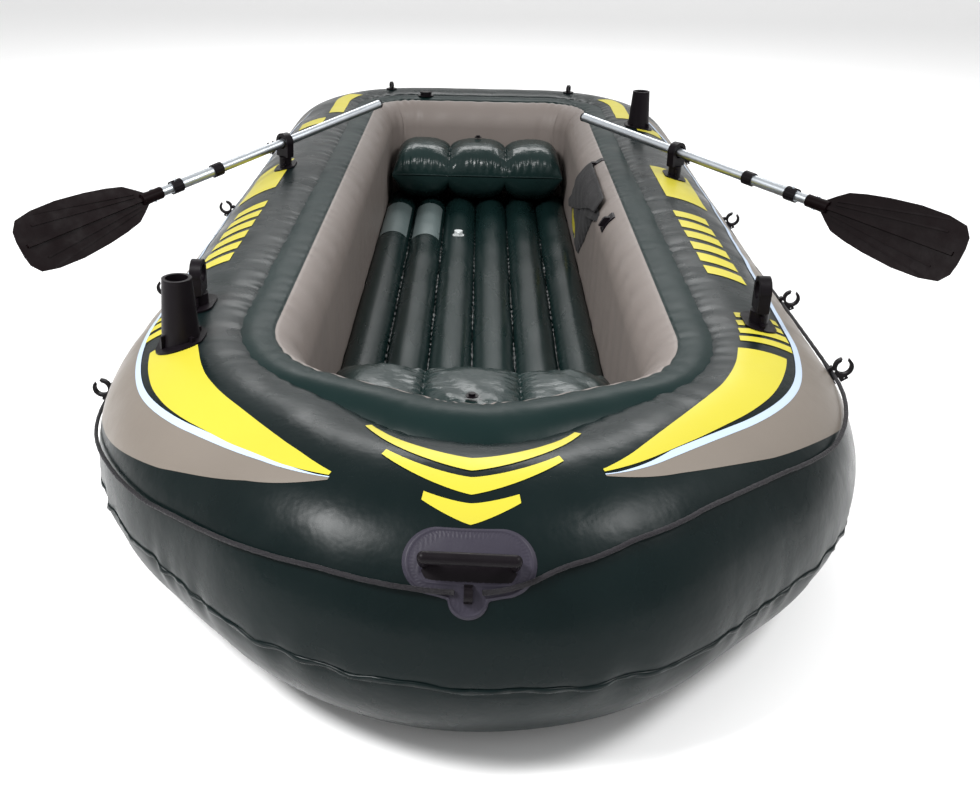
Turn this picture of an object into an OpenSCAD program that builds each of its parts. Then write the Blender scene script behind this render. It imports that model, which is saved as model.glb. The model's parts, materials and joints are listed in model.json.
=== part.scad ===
// Four-person inflatable rowing boat with two oars.
// +Z is up, +Y points to the stern, +X to port. The origin is at the
// centre of the flat underside.

/* [Hull] */
// Length of the hull over the outer tube
hull_len = 3510; // [3300:10:3700]
// Width of the hull over the outer tube
hull_w = 1450; // [1430:5:1500]
// Radius of the outer tube
tube_r = 218; // [214:1:220]
// Thickness of the PVC skin of the air chambers
skin = 3; // [2:0.5:4]

/* [Bow] */
// Centreline radius of the nose of the outer tube
nose_r = 330; // [300:5:360]
// Angle through which the nose arc turns on each side
nose_ang = 46; // [42:1:50]
// Centreline radius of the shoulders of the bow
shoulder_r = 480; // [440:10:500]

/* [Stern] */
// Centreline radius of the stern corners of the outer tube
stern_r = 300; // [280:5:320]

/* [Cockpit] */
// Half distance between the centrelines of the inner chamber's sides
ring_x = 425; // [422:1:428]
// Half width of the inner chamber
ring_r = 100; // [97:1:100]
// Height of the inner chamber
ring_h = 420; // [410:5:420]

/* [Floor] */
// Number of floor tubes
floor_n = 6; // [6:1:6]
// Radius of a floor tube
floor_r = 56; // [55.5:0.5:56]
// Distance between floor tubes
floor_pitch = 110; // [109:1:110]

/* [Seats] */
// Width of a seat cushion
seat_w = 606; // [590:2:610]
// Depth of the front seat from front to back
front_seat_d = 370; // [340:10:380]
// Depth of the rear seat from front to back
rear_seat_d = 300; // [280:5:300]
// Thickness of the front seat
front_seat_h = 150; // [130:5:160]
// Thickness of the rear seat
rear_seat_h = 205; // [180:5:210]

/* [Oars] */
// Radius of the aluminium shaft
shaft_r = 12.7; // [12.5:0.1:12.7]
// Wall of the aluminium shaft
shaft_wall = 1.5; // [1.2:0.1:2]
// Full length of an oar
oar_len = 1220; // [1200:5:1240]
// Width of the blade
blade_w = 162; // [150:2:170]
// Height of the oarlock hole's centre above the underside
lock_z = 500; // [496:1:504]

/* [Fittings] */
// Bore radius of a rod holder
rod_bore_r = 21; // [20:0.5:22]
// Height of a rod holder above the deck
rod_h = 122; // [110:2:130]
// Radius of the grab line
rope_r = 4; // [3.5:0.5:4]

/* [Hidden] */
$fn = 64;
e = 0.4;                                // gap between pieces that lie on each other
xs = hull_w/2 - tube_r;                 // outer tube centreline at the side
yn = -hull_len/2 + tube_r;              // outer tube centreline at the nose
ys = hull_len/2 - tube_r;               // outer tube centreline at the stern
tz = tube_r;                            // height of the outer tube's centre
// the shoulder arc's centre, so that nose arc, straight and shoulder arc are tangent
sh_k = -(yn + nose_r)*cos(nose_ang) + nose_r - shoulder_r;
sh_y = ((xs - shoulder_r)*sin(nose_ang) - sh_k)/cos(nose_ang);
dn = [sin(nose_ang), -cos(nose_ang)];
p_nose = [0, yn + nose_r] + nose_r*dn;
p_shld = [xs - shoulder_r, sh_y] + shoulder_r*dn;
diag_len = norm(p_shld - p_nose);
rope_off = rope_r + 2.8;                // from the skin to the middle of the grab line
rz0 = 8;                                // underside of the inner chamber
side = [-1, 1];
green = [0.14, 0.24, 0.23]; dark = [0.06, 0.11, 0.10]; taupe = [0.60, 0.55, 0.51]; black = [0.08, 0.07, 0.08]; alu = [0.80, 0.81, 0.83];

// A profile (x outward from the centreline, y up) carried along one straight of length l
module straight(p, a, l) { translate([p[0], p[1], 0]) rotate([0, 0, a]) rotate([90, 0, 0]) linear_extrude(l) children(); }
// ... and round an arc of radius r about c, from angle a0 over da
module arc(c, r, a0, da) { translate([c[0], c[1], 0]) rotate([0, 0, a0]) rotate_extrude(angle = da) translate([r, 0]) children(); }

// The outer tube's path: nose, port and starboard diagonals, shoulders, sides, stern corners, stern
module nose_part() { arc([0, yn + nose_r], nose_r, -90 - nose_ang, 2*nose_ang) children(); }
module half_path() {
  straight(p_shld, nose_ang - 90, diag_len) children();
  arc([xs - shoulder_r, sh_y], shoulder_r, nose_ang - 90, 90 - nose_ang) children();
  straight([xs, ys - stern_r], 0, ys - stern_r - sh_y) children();
  arc([xs - stern_r, ys - stern_r], stern_r, 0, 90) children();
}
module stern_part() { straight([-(xs - stern_r), ys], 90, 2*(xs - stern_r)) children(); }
module tube_path() { nose_part() children(); half_path() children(); mirror([1, 0, 0]) half_path() children(); stern_part() children(); }
module side_part() { straight([xs, ys - stern_r], 0, ys - stern_r - sh_y) children(); }
module disc(r) { translate([0, tz]) circle(r); }

// Stations round the hull, from the nose along the port side to the middle of the stern:
// point on the outer tube's centreline, outward direction, and how far inboard the
// inner chamber's centreline lies
function arc_st(c, r, a0, a1, k, d) = [for (i = [0 : k]) let (t = i/k, a = a0 + (a1 - a0)*t, n = [cos(a), sin(a)]) [c + r*n, n, lookup(t, d)]];
d_side = xs - ring_x; d_stern = 117; d_nose = 187;
half_st = concat(
  arc_st([0, yn + nose_r], nose_r, -90, nose_ang - 90, 5, [[0, d_nose], [0.5, d_nose - 1], [1, d_nose - 12]]),
  [[(p_nose + p_shld)/2, dn, (d_nose - 12)*0.45 + 103*0.55]],
  arc_st([xs - shoulder_r, sh_y], shoulder_r, nose_ang - 90, 0, 6, [[0, 103], [0.35, 86], [0.7, d_side], [1, d_side]]),
  [for (t = [0.25 : 0.25 : 0.75]) [[xs, sh_y + (ys - stern_r - sh_y)*t], [1, 0], d_side]],
  arc_st([xs - stern_r, ys - stern_r], stern_r, 0, 90, 7, [[0, d_side], [0.5, d_side + 12], [1, d_stern]]),
  [[[0, ys], [0, 1], d_stern]]);
stations = concat(half_st, [for (i = [len(half_st) - 2 : -1 : 1]) let (h = half_st[i]) [[-h[0][0], h[0][1]], [-h[1][0], h[1][1]], h[2]]]);
// A closed band swept round the stations; prof(d) gives the section's loop of [outward, height]
function band_pts(profs) = [for (i = [0 : len(stations) - 1]) let (s = stations[i]) each [for (p = profs[i]) [s[0][0] + p[0]*s[1][0], s[0][1] + p[0]*s[1][1], p[1]]]];
module band(profs) {
  n = len(stations); k = len(profs[0]);
  polyhedron(band_pts(profs), [for (i = [0 : n - 1], j = [0 : k - 1]) each let (a = i*k + j, b = i*k + (j + 1)%k, c = ((i + 1)%n)*k + (j + 1)%k, q = ((i + 1)%n)*k + j) [[a, b, c], [a, c, q]]], convexity = 10);
}
ring_top = rz0 + ring_h - ring_r - tz;   // heights of the ring's round ends from the tube's centre
ring_low = tz - rz0 - ring_r;
// where the outer tube meets the inner chamber's round edge, as an angle on the tube
function meet(d, h) = let (q = ring_r + e, f = acos((d*d + q*q + h*h - tube_r*tube_r)/(2*q*norm([d, h]))) - atan2(h, d)) atan2(h + q*sin(f), -d + q*cos(f));
tube_m = 17; edge_gap = 2;
function tube_prof(d) = let (t1 = meet(d, ring_top) - edge_gap, t0 = -meet(d, ring_low) + edge_gap)
  concat([for (i = [0 : tube_m]) let (a = t0 + (t1 - t0)*i/tube_m) [tube_r*cos(a), tz + tube_r*sin(a)]],
    [for (i = [tube_m : -1 : 0]) let (a = t0 + (t1 - t0)*i/tube_m) [(tube_r - skin)*cos(a), tz + (tube_r - skin)*sin(a)]]);
// section of the inner chamber, shrunk by g
function ring_prof(d, g) = concat([for (i = [0 : 7]) let (a = 180*i/7) [-d + (ring_r - g)*cos(a), rz0 + ring_h - ring_r + (ring_r - g)*sin(a)]],
  [for (i = [0 : 7]) let (a = 180 + 180*i/7) [-d + (ring_r - g)*cos(a), rz0 + ring_r + (ring_r - g)*sin(a)]]);

valve_inner = [-205, ys - d_stern];              // valve of the inner chamber, on top at the stern
valve_z = rz0 + ring_h;
hv_a = 40;                              // elevation of the hull valve on the stern's outer face
hv_p = [0, ys + tube_r*cos(hv_a), tz + tube_r*sin(hv_a)];

module outer_chamber() color(green) difference() {
  band([for (q = stations) tube_prof(q[2])]);
  translate(hv_p) rotate([-(90 - hv_a), 0, 0]) cylinder(r = 21, h = 40, center = true);
}
module inner_chamber() color(taupe) difference() {
  band([for (q = stations) ring_prof(q[2], 0)]);
  band([for (q = stations) ring_prof(q[2], skin)]);
  translate([valve_inner[0], valve_inner[1], valve_z - 20]) cylinder(r = 21, h = 40);
}
// Flat sheet under the floor, welded to the tubes all round
module bottom_sheet() color(dark) linear_extrude(3) polygon([for (q = stations) q[0] - (q[2] - 30)*q[1]]);

fz = 4 + floor_r;
// front and rear end of each floor tube's straight part, from the middle tubes outward
floor_y0 = [-1160, -1100, -975]; floor_y1 = [1250, 1250, 1190];
module floor_tubes(r, ends) for (i = [0 : floor_n - 1]) let (x = (i - (floor_n - 1)/2)*floor_pitch, k = floor(abs(x)/floor_pitch)) {
  translate([x, floor_y1[k], fz]) rotate([90, 0, 0]) cylinder(r = r, h = floor_y1[k] - floor_y0[k]);
  if (ends) for (y = [floor_y0[k], floor_y1[k]]) translate([x, y, fz]) sphere(r);
}
module floor_chamber() color(dark) difference() {
  floor_tubes(floor_r, true);
  floor_tubes(floor_r - skin, false);
  translate([-2.5*floor_pitch, 600, fz]) rotate([0, 90, 0]) cylinder(r = 12, h = 5*floor_pitch);
  translate([fv_x, fv_y, fz]) cylinder(r = 14, h = 100);
}
fv_x = -0.5*floor_pitch; fv_y = 640;    // floor valve, on the crown of the third tube

// One cushion of three lobes, resting on the floor
module seat(d, h, y) {
  r = h/2; w = seat_w/3;
  for (i = [-1 : 1]) translate([i*w, y, 4 + 2*floor_r + e + r]) hull()
    for (sx = side, sy = side) translate([sx*(w/2 + 4 - r*0.42), sy*(d/2 - r), 0]) scale([0.42, 1, 1]) sphere(r, $fn = 20);
}
front_y = -890; rear_y = 1165;
module front_seat() color(green) seat(front_seat_d, front_seat_h, front_y);
module rear_seat() color(green) seat(rear_seat_d, rear_seat_h, rear_y);
module seat_valve(y, h) translate([0, y, 4 + 2*floor_r + e + h + 0.3]) { cylinder(r = 13, h = 2); cylinder(r = 7, h = 7); }
module front_seat_valve() color(black) seat_valve(front_y - 60, front_seat_h);
module rear_seat_valve() color(black) seat_valve(rear_y + 30, rear_seat_h);

// A patch of thickness t lying on the nose of the outer tube, inside the cutter given
module nose_patch(t) intersection() {
  nose_part() difference() { disc(tube_r + t); disc(tube_r + e); }
  children();
}
bh_a = 42;                              // elevation of the handle's middle on the bow
bh = [0, yn - tube_r*cos(bh_a), tz + tube_r*sin(bh_a)];
// frame of the handle: local Z out of the skin, X to port, Y up the skin
module at_bow() translate(bh) rotate([90 - bh_a, 0, 0]) children();
module oblong(l, w, h) { translate([0, 0, -h/2]) linear_extrude(h) { for (s = side) translate([s*(l - w)/2, 0]) circle(w/2); square([l - w, w], center = true); } }
module bow_handle_patch() color(black) difference() {
  nose_patch(1.6) at_bow() { oblong(186, 96, 120); translate([0, -52, 0]) cylinder(r = 26, h = 120, center = true); }
  at_ring() cube([14, 29, 60], center = true);
  at_bow() for (s = side) translate([s*62, 0, 0]) cylinder(r = 9.6, h = 60, center = true);
}
module bow_handle_grip() color(black) at_bow() {
  for (s = side) translate([s*62, 0, 0.6]) cylinder(r = 9, h = 31.4);
  translate([-62, 0, 32]) rotate([0, 90, 0]) cylinder(r = 9, h = 124);
  for (s = side) translate([s*62, 0, 32]) sphere(9);
}
// the eye that holds the grab line at the bow
rope_bow = 334;
rb_a = asin((rope_bow - tz)/(tube_r + rope_off));
module at_ring() translate([0, yn - tube_r*cos(rb_a), tz + tube_r*sin(rb_a)]) rotate([90 - rb_a, 0, 0]) children();
module bow_rope_ring() color(black) at_ring() translate([-6, 0, 0]) rotate([90, 0, 90]) linear_extrude(12) difference() {
  union() { translate([-13, 0.6]) square([26, 6]); translate([-9, 4]) square([18, 8]); translate([0, 9]) circle(10.5); }
  translate([0, rope_off + 2.2]) circle(rope_r + 3);
}

// Grab line: points along the outer tube's outside, at heights chosen by station
rope_star = [[-1760, 334], [-1708, 336], [-1640, 324], [-1555, 307], [-1450, 288], [-1300, 280], [-1150, 262], [-958, 252], [-942, 252], [-750, 266], [-498, 300], [-482, 300], [-150, 290], [212, 300], [228, 300], [600, 290], [992, 305], [1008, 305], [1300, 300], [1560, 320], [1760, 330]];
rope_port = [[-1760, 334], [-1754, 334], [-1737, 360], [-1690, 376], [-1596, 380], [-1448, 370], [-1293, 352], [-958, 345], [-942, 345], [-750, 336], [-498, 320], [-482, 320], [-150, 300], [212, 305], [228, 305], [600, 295], [992, 305], [1008, 305], [1300, 300], [1560, 320], [1760, 330]];
function rope_z(y, sx) = lookup(y, sx > 0 ? rope_port : rope_star);
function rope_pt(c, n, sx) = let (z = rope_z(c[1] + tube_r*n[1], sx), q = tube_r + rope_off, o = sqrt(q*q - (z - tz)*(z - tz))) [c[0] + n[0]*o, c[1] + n[1]*o, z];
function arc_pts(c, r, a0, a1, k, skip, sx) = [for (i = [skip : k]) let (a = a0 + (a1 - a0)*i/k) rope_pt([c[0] + r*cos(a), c[1] + r*sin(a)], [cos(a), sin(a)], sx)];
rope_y = [-958, -942, -750, -498, -482, -150, 212, 228, 600, 992, 1008, 1180];
function half_pts(sx) = concat(
  arc_pts([0, yn + nose_r], nose_r, -90, -90 + nose_ang, 8, 0, sx),
  [for (i = [1 : 2]) rope_pt(p_nose + (p_shld - p_nose)*i/3, dn, sx)],
  arc_pts([xs - shoulder_r, sh_y], shoulder_r, nose_ang - 90, 0, 6, 0, sx),
  [for (y = rope_y) rope_pt([xs, y], [1, 0], sx)],
  arc_pts([xs - stern_r, ys - stern_r], stern_r, 0, 90, 10, 0, sx),
  [rope_pt([(xs - stern_r)/2, ys], [0, 1], sx)]);
half_port = half_pts(1); half_star = half_pts(-1);
// once round the boat, meeting itself at the bow ring
loop_pts = concat(half_port, [for (i = [len(half_star) - 1 : -1 : 1]) [-half_star[i][0], half_star[i][1], half_star[i][2]]]);
module grab_line() color(black) {
  n = len(loop_pts); k = 8;
  ring = [for (i = [0 : n - 1]) let (a = loop_pts[(i + n - 1)%n], b = loop_pts[(i + 1)%n], t = (b - a)/norm(b - a), u0 = cross(t, [0, 0, 1]), u = u0/norm(u0), v = cross(u, t))
    each [for (j = [0 : k - 1]) loop_pts[i] + rope_r*(cos(360*j/k)*u + sin(360*j/k)*v)]];
  polyhedron(ring, [for (i = [0 : n - 1], j = [0 : k - 1]) each let (a = i*k + j, b = i*k + (j + 1)%k, c = ((i + 1)%n)*k + (j + 1)%k, d = ((i + 1)%n)*k + j) [[a, b, c], [a, c, d]]], convexity = 6);
}

// A clip on the hull's side: base, rope eye and open ring that holds an oar shaft
clip_y = [-950, -490, 220, 1000];
clip_in = shaft_r + 0.1;
module clip(y, sx) {
  a = asin((rope_z(y, sx) - tz)/(tube_r + rope_off));
  translate([xs + tube_r*cos(a), y, tz + tube_r*sin(a)]) rotate([0, -a, 0]) difference() {
    union() {
      translate([0.6, 0, 0]) rotate([0, 90, 0]) cylinder(r = 23, h = 1.6);
      translate([0.6, -5, -13]) cube([12.4, 10, 26]);
      translate([30, 5, 0]) rotate([90, 0, 0]) cylinder(r = clip_in + 6, h = 10);
      translate([12, -2.5, -26]) cube([16, 5, 20]);
    }
    translate([-12, 0, 0]) rotate([90, 0, 0]) cylinder(r = 12.5, h = 60, center = true);
    translate([rope_off + 0.8, 0, 0]) rotate([90, 0, 0]) cylinder(r = rope_r + 1.6, h = 60, center = true);
    translate([30, 0, 0]) rotate([90, 0, 0]) cylinder(r = clip_in, h = 30, center = true);
    translate([30, 0, 0]) rotate([0, -50, 0]) translate([0, -15, -7]) cube([40, 30, 14]);
    translate([21, 0, -22.5]) rotate([90, 0, 0]) cylinder(r = 1.8, h = 20, center = true);
  }
}
module starboard_clips() color(black) mirror([1, 0, 0]) for (y = clip_y) clip(y, -1);
module port_clips() color(black) for (y = clip_y) clip(y, 1);
// Two rings on top of the stern
module stern_rings() color(black) for (s = side) translate([s*(xs - stern_r), ys - stern_r, 0]) rotate([0, 0, -s*27]) translate([0, stern_r, 2*tube_r + e]) difference() {
  union() { cylinder(r = 20, h = 3); translate([-4, 0, 14]) rotate([0, 90, 0]) cylinder(r = 15, h = 8); }
  translate([-10, 0, 15]) rotate([0, 90, 0]) cylinder(r = 7, h = 20);
  translate([-30, -30, -30]) cube([60, 60, 30]);
}

// Oarlocks: a base on the tube and a loop whose round stem turns in it
front_y_lock = -925; rear_y_lock = 240;
function lock_x(y) = y < 0 ? 545 : 560;
neck_z = lock_z - 40;                   // foot of the loop
lock_in_r = 17.5;                       // bore of the loop
module lock_base(y) difference() {
  union() {
    translate([lock_x(y), y, 400]) cylinder(r = 18, h = neck_z - 400.4);
    intersection() { side_clear(y, 60) disc(tube_r + 4); translate([lock_x(y), y, 400]) oblong_col(52, 30, 60); }
    translate([lock_x(y) - 3, y - 44, 400]) cube([6, 88, 42]);
    translate([lock_x(y) - 3, y - 30, 400]) cube([6, 60, neck_z - 406]);
  }
  side_clear(y, 80) disc(tube_r + e);
  translate([lock_x(y), y, 380]) cylinder(r = 9, h = 200);
}
// an oblong column, longer along the tube
module oblong_col(l, w, h) linear_extrude(h) { for (s = side) translate([0, s*(l - w)]) circle(w); square([2*w, 2*(l - w)], center = true); }
module side_clear(y, l) straight([xs, y + l], 0, 2*l) children();
// the loop: hole along X, wedge-shaped cheeks, stem below
module lock_loop(y) translate([lock_x(y), y, lock_z]) {
  difference() {
    union() {
      translate([-11, 0, 0]) rotate([90, 0, 90]) linear_extrude(22) { circle(27); polygon([[-25, -lock_z + neck_z], [25, -lock_z + neck_z], [26.4, -5], [-26.4, -5]]); }
      translate([0, 0, -(lock_z - neck_z) - 24]) cylinder(r = 8.7, h = 28);
    }
    rotate([0, 90, 0]) cylinder(r = lock_in_r, h = 60, center = true);
  }
}
module to_starboard() mirror([1, 0, 0]) children();
module front_starboard_lock_base() color(black) to_starboard() lock_base(front_y_lock);
module front_port_lock_base() color(black) lock_base(front_y_lock);
module rear_starboard_lock_base() color(black) to_starboard() lock_base(rear_y_lock);
module rear_port_lock_base() color(black) lock_base(rear_y_lock);
module front_starboard_lock_loop() color(black) to_starboard() lock_loop(front_y_lock);
module front_port_lock_loop() color(black) lock_loop(front_y_lock);
// the rear loops are turned to face along their oars
star_az = -133; star_el = -10; port_az = -48; port_el = -6; star_in = 372; port_in = 364;
star_turn = -58; port_turn = 66;        // how far each blade is turned about its shaft
lock_star = [-lock_x(rear_y_lock), rear_y_lock, lock_z]; lock_port = [lock_x(rear_y_lock), rear_y_lock, lock_z];
module turned(p, a) translate(p) rotate([0, 0, a]) translate(-p) children();
module rear_starboard_lock_loop() color(black) turned(lock_star, 180 + star_az) to_starboard() lock_loop(rear_y_lock);
module rear_port_lock_loop() color(black) turned(lock_port, port_az) lock_loop(rear_y_lock);
// a soft ring between the loop and the shaft
module liner() rotate([0, 90, 0]) difference() { intersection() { sphere(17); cylinder(r = 17, h = 10, center = true); } cylinder(r = shaft_r + 0.06, h = 30, center = true); }
module on_star() translate(lock_star) rotate([0, 0, star_az]) rotate([0, -star_el, 0]) children();
module on_port() translate(lock_port) rotate([0, 0, port_az]) rotate([0, -port_el, 0]) children();
module starboard_lock_liner() color(black) on_star() liner();
module port_lock_liner() color(black) on_port() liner();

// Oar: local X runs outboard along the shaft from the oarlock; s0 is the inner end
module shaft_inner(s0) translate([-s0, 0, 0]) rotate([0, 90, 0]) difference() { cylinder(r = shaft_r, h = 640); translate([0, 0, -1]) cylinder(r = shaft_r - shaft_wall, h = 700); }
module shaft_outer(s0) translate([650 - s0, 0, 0]) difference() {
  rotate([0, 90, 0]) difference() { cylinder(r = shaft_r, h = 200); translate([0, 0, -1]) cylinder(r = shaft_r - shaft_wall, h = 300); }
  translate([100, 0, 0]) cylinder(r = 4.2, h = 30);
}
module shaft_joiner(s0) translate([596 - s0, 0, 0]) difference() {
  rotate([0, 90, 0]) difference() { cylinder(r = shaft_r + 1.5, h = 170); translate([0, 0, -1]) cylinder(r = shaft_r + 0.2, h = 300); }
  translate([154, 0, 0]) { cylinder(r = 4.4, h = 30); translate([0, -4.4, 0]) cube([20, 8.8, 30]); }
}
module collar(l) rotate([0, 90, 0]) difference() { cylinder(r = shaft_r + 5.5, h = l); translate([0, 0, -1]) cylinder(r = shaft_r + 1.6, h = 100); for (k = [0 : 11]) rotate([0, 0, 30*k]) translate([shaft_r + 6.6, 0, -1]) cylinder(r = 1.8, h = 100); }
module joint_collars(s0) {
  translate([600 - s0, 0, 0]) collar(30);
  difference() { translate([735 - s0, 0, 0]) collar(32); translate([750 - s0, 0, 0]) { cylinder(r = 5.5, h = 30); translate([0, -5.5, 0]) cube([20, 11, 30]); } }
}
module lock_button(s0) translate([750 - s0, 0, 5]) { cylinder(r = 4, h = 14); translate([0, 0, 14]) intersection() { sphere(4); cylinder(r = 5, h = 5); } }
module end_plug(s0) translate([-s0, 0, 0]) rotate([0, 90, 0]) { translate([0, 0, -4.2]) cylinder(r = shaft_r + 0.6, h = 4); translate([0, 0, -0.5]) cylinder(r = shaft_r - shaft_wall - 0.15, h = 24); }
// blade: a socket over the shaft and a cupped paddle with ribs
module blade(s0) translate([800 - s0, 0, 0]) difference() {
  union() {
    rotate([0, 90, 0]) cylinder(r = shaft_r + 3.6, h = 62);
    intersection() {
      translate([0, 0, -10]) linear_extrude(20) polygon(blade_outline);
      translate([0, 0, 1100]) rotate([0, 90, 0]) difference() { cylinder(r = 1102.2, h = 500, $fn = 360); translate([0, 0, -1]) cylinder(r = 1098, h = 502, $fn = 360); }
    }
    translate([30, -5, -3]) cube([370, 10, 11]);
    for (s = side, k = [1, 2]) translate([78, s*(5 + 9*k), -2]) rotate([0, 0, s*(2 + 4*k)]) translate([0, -2.5, 0]) cube([290, 5, 7]);
  }
  translate([-1, 0, 0]) rotate([0, 90, 0]) cylinder(r = shaft_r + 0.25, h = 53);
  translate([24, 0, 0]) rotate([90, 0, 0]) cylinder(r = 2.6, h = 60, center = true);
}
bw = blade_w/2;
blade_outline = [[20, -15], [48, -17], [70, -34], [96, -52], [140, -bw + 18], [200, -bw + 8], [280, -bw], [352, -bw + 1], [398, -bw + 10], [416, -bw + 34], [420, -20],
  [420, 20], [416, bw - 34], [398, bw - 10], [352, bw - 1], [280, bw], [200, bw - 8], [140, bw - 18], [96, 52], [70, 34], [48, 17], [20, 15]];
module blade_rivet(s0) translate([824 - s0, 0, 0]) rotate([90, 0, 0]) { cylinder(r = 2.3, h = 36, center = true); for (k = side) translate([0, 0, k*17.6]) cylinder(r = 5, h = 1.8, center = true); }

module starboard_shaft_inner() color(alu) on_star() shaft_inner(star_in);
module starboard_shaft_outer() color(alu) on_star() difference() { shaft_outer(star_in); rotate([star_turn, 0, 0]) rivet_hole(star_in); }
module starboard_shaft_joiner() color(alu) on_star() shaft_joiner(star_in);
module starboard_joint_collars() color(black) on_star() joint_collars(star_in);
module starboard_lock_button() color(alu) on_star() lock_button(star_in);
module starboard_end_plug() color(black) on_star() end_plug(star_in);
module starboard_blade() color(black) on_star() rotate([star_turn, 0, 0]) blade(star_in);
module starboard_blade_rivet() color(alu) on_star() rotate([star_turn, 0, 0]) blade_rivet(star_in);
module port_shaft_inner() color(alu) on_port() shaft_inner(port_in);
module port_shaft_outer() color(alu) on_port() difference() { shaft_outer(port_in); rotate([port_turn, 0, 0]) rivet_hole(port_in); }
module port_shaft_joiner() color(alu) on_port() shaft_joiner(port_in);
module port_joint_collars() color(black) on_port() joint_collars(port_in);
module port_lock_button() color(alu) on_port() lock_button(port_in);
module port_end_plug() color(black) on_port() end_plug(port_in);
module port_blade() color(black) on_port() rotate([port_turn, 0, 0]) blade(port_in);
module port_blade_rivet() color(alu) on_port() rotate([port_turn, 0, 0]) blade_rivet(port_in);
module rivet_hole(s0) translate([824 - s0, 0, 0]) rotate([90, 0, 0]) cylinder(r = 2.6, h = 60, center = true);

// Rod holders: a tapered tube with a blind bore, on an oval base that fits the tube
module rod_holder(x, y) {
  z1 = 428 + rod_h;
  difference() {
    union() {
      translate([x, y, 395]) cylinder(r1 = 38, r2 = 27.5, h = z1 - 395);
      intersection() { hull_near(y) disc(tube_r + 4); translate([x, y, 395]) oblong_col(56, 45, 80); }
      for (a = [0 : 90 : 270]) translate([x, y, 410]) rotate([0, 0, a + 45]) translate([0, -3, 0]) cube([43, 6, 36]);
    }
    hull_near(y) disc(tube_r + e);
    translate([x, y, z1 - 106]) cylinder(r = rod_bore_r, h = 200);
  }
}
module hull_near(y) if (y < sh_y) arc([xs - shoulder_r, sh_y], shoulder_r, nose_ang - 90, 90 - nose_ang) children(); else side_clear(y, 120) children();
module front_rod_holder() color(black) to_starboard() rod_holder(540, -1100);
module rear_rod_holder() color(black) rod_holder(540, 915);

// Valves: a flanged neck in the skin and a cap on a hinge
module valve_body() difference() {
  union() {
    translate([0, 0, e]) cylinder(r = 30, h = 3);
    translate([0, 0, -12]) cylinder(r = 20.5, h = 22);
    translate([-9, 24, e]) cube([18, 17, 3]);
    for (s = side) translate([s*7.6 - 1.4, 32, e]) cube([2.8, 8, 15]);
  }
  translate([0, 0, -9]) cylinder(r = 14, h = 60);
  translate([-20, 36, 12.4]) rotate([0, 90, 0]) cylinder(r = 2.2, h = 40);
}
module valve_cap() {
  translate([0, 0, 10.4]) cylinder(r = 22, h = 6);
  translate([0, 0, 5]) cylinder(r = 12.6, h = 7);
  translate([-5, 18, 10.4]) cube([10, 17, 4]);
  translate([-9, 36, 12.4]) rotate([0, 90, 0]) cylinder(r = 2, h = 18);
}
module on_inner() translate([valve_inner[0], valve_inner[1], valve_z]) children();
module on_hull() translate(hv_p) rotate([-(90 - hv_a), 0, 0]) rotate([0, 0, 180]) children();
module inner_valve() color(black) on_inner() valve_body();
module inner_valve_cap() color(black) on_inner() valve_cap();
module hull_valve() color(black) on_hull() valve_body();
module hull_valve_cap() color(black) on_hull() valve_cap();
module floor_valve() color("gainsboro") translate([fv_x, fv_y, 0]) difference() {
  union() {
    intersection() { translate([0, 0, fz]) rotate([90, 0, 0]) cylinder(r = floor_r + 2.4, h = 60, center = true); translate([0, 0, fz]) cylinder(r = 19, h = 100); }
    translate([0, 0, fz + 40]) cylinder(r = 13.6, h = 27);
  }
  difference() { translate([0, 0, fz]) rotate([90, 0, 0]) cylinder(r = floor_r + e, h = 100, center = true); translate([0, 0, fz + 40]) cylinder(r = 13.6, h = 100); }
  translate([0, 0, fz]) cylinder(r = 9, h = 100);
}
module floor_valve_cap() color("gainsboro") translate([fv_x, fv_y, fz + 67.4]) { cylinder(r = 13.6, h = 3); translate([0, 0, -5]) cylinder(r = 7.6, h = 6); translate([-4, -24, 0]) cube([8, 14, 2]); translate([-4, -24, 1]) rotate([0, 90, 0]) cylinder(r = 1.4, h = 8); }

// Gear pouch hung askew on the port wall of the cockpit, from two hooks.
// A sheet following the wall between the offsets a and b, cut to the outline below ([along the boat, height])
module on_wall(a, b, outline) intersection() {
  difference() {
    translate([0, 900, 0]) rotate([90, 0, 0]) linear_extrude(1100) wall_side(b);
    translate([0, 950, 0]) rotate([90, 0, 0]) linear_extrude(1200) wall_side(a);
  }
  translate([200, 0, 0]) rotate([90, 0, 90]) linear_extrude(190) polygon(outline);
}
module wall_side(t) { translate([ring_x, rz0 + ring_h - ring_r]) circle(ring_r + t); translate([ring_x - ring_r - t, rz0 + ring_r]) square([ring_r + t, ring_h - 2*ring_r]); }
module gear_pouch() color([0.16, 0.16, 0.17]) on_wall(e, 9, [[50, 372], [66, 395], [460, 395], [600, 290], [750, 205], [738, 180], [580, 128], [430, 128], [250, 235]]);
pf_z = 400; pf_r = ring_r + 10.8;       // height of the flap's hem, and its distance from the wall's round top's centre
module pouch_flap() color([0.20, 0.20, 0.21]) {
  on_wall(9.6, 12, [[40, 366], [52, 400], [476, 400], [620, 290], [762, 212], [745, 196], [500, 255], [250, 325]]);
  translate([ring_x - sqrt(pf_r*pf_r - pow(pf_z - (rz0 + ring_h - ring_r), 2)), 470, pf_z]) rotate([90, 0, 0]) cylinder(r = 1.5, h = 410);
}
module pouch_hook() color(black) { on_wall(e, 4, [[455, 404], [485, 404], [485, 420], [455, 420]]); on_wall(3, 13, [[462, 405], [478, 405], [478, 411], [462, 411]]); }
module pouch_toggle() color(black) { on_wall(e, 4, [[-112, 362], [-68, 362], [-68, 404], [-112, 404]]); on_wall(3, 15, [[-96, 374], [-84, 374], [-84, 398], [-96, 398]]); }

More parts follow.
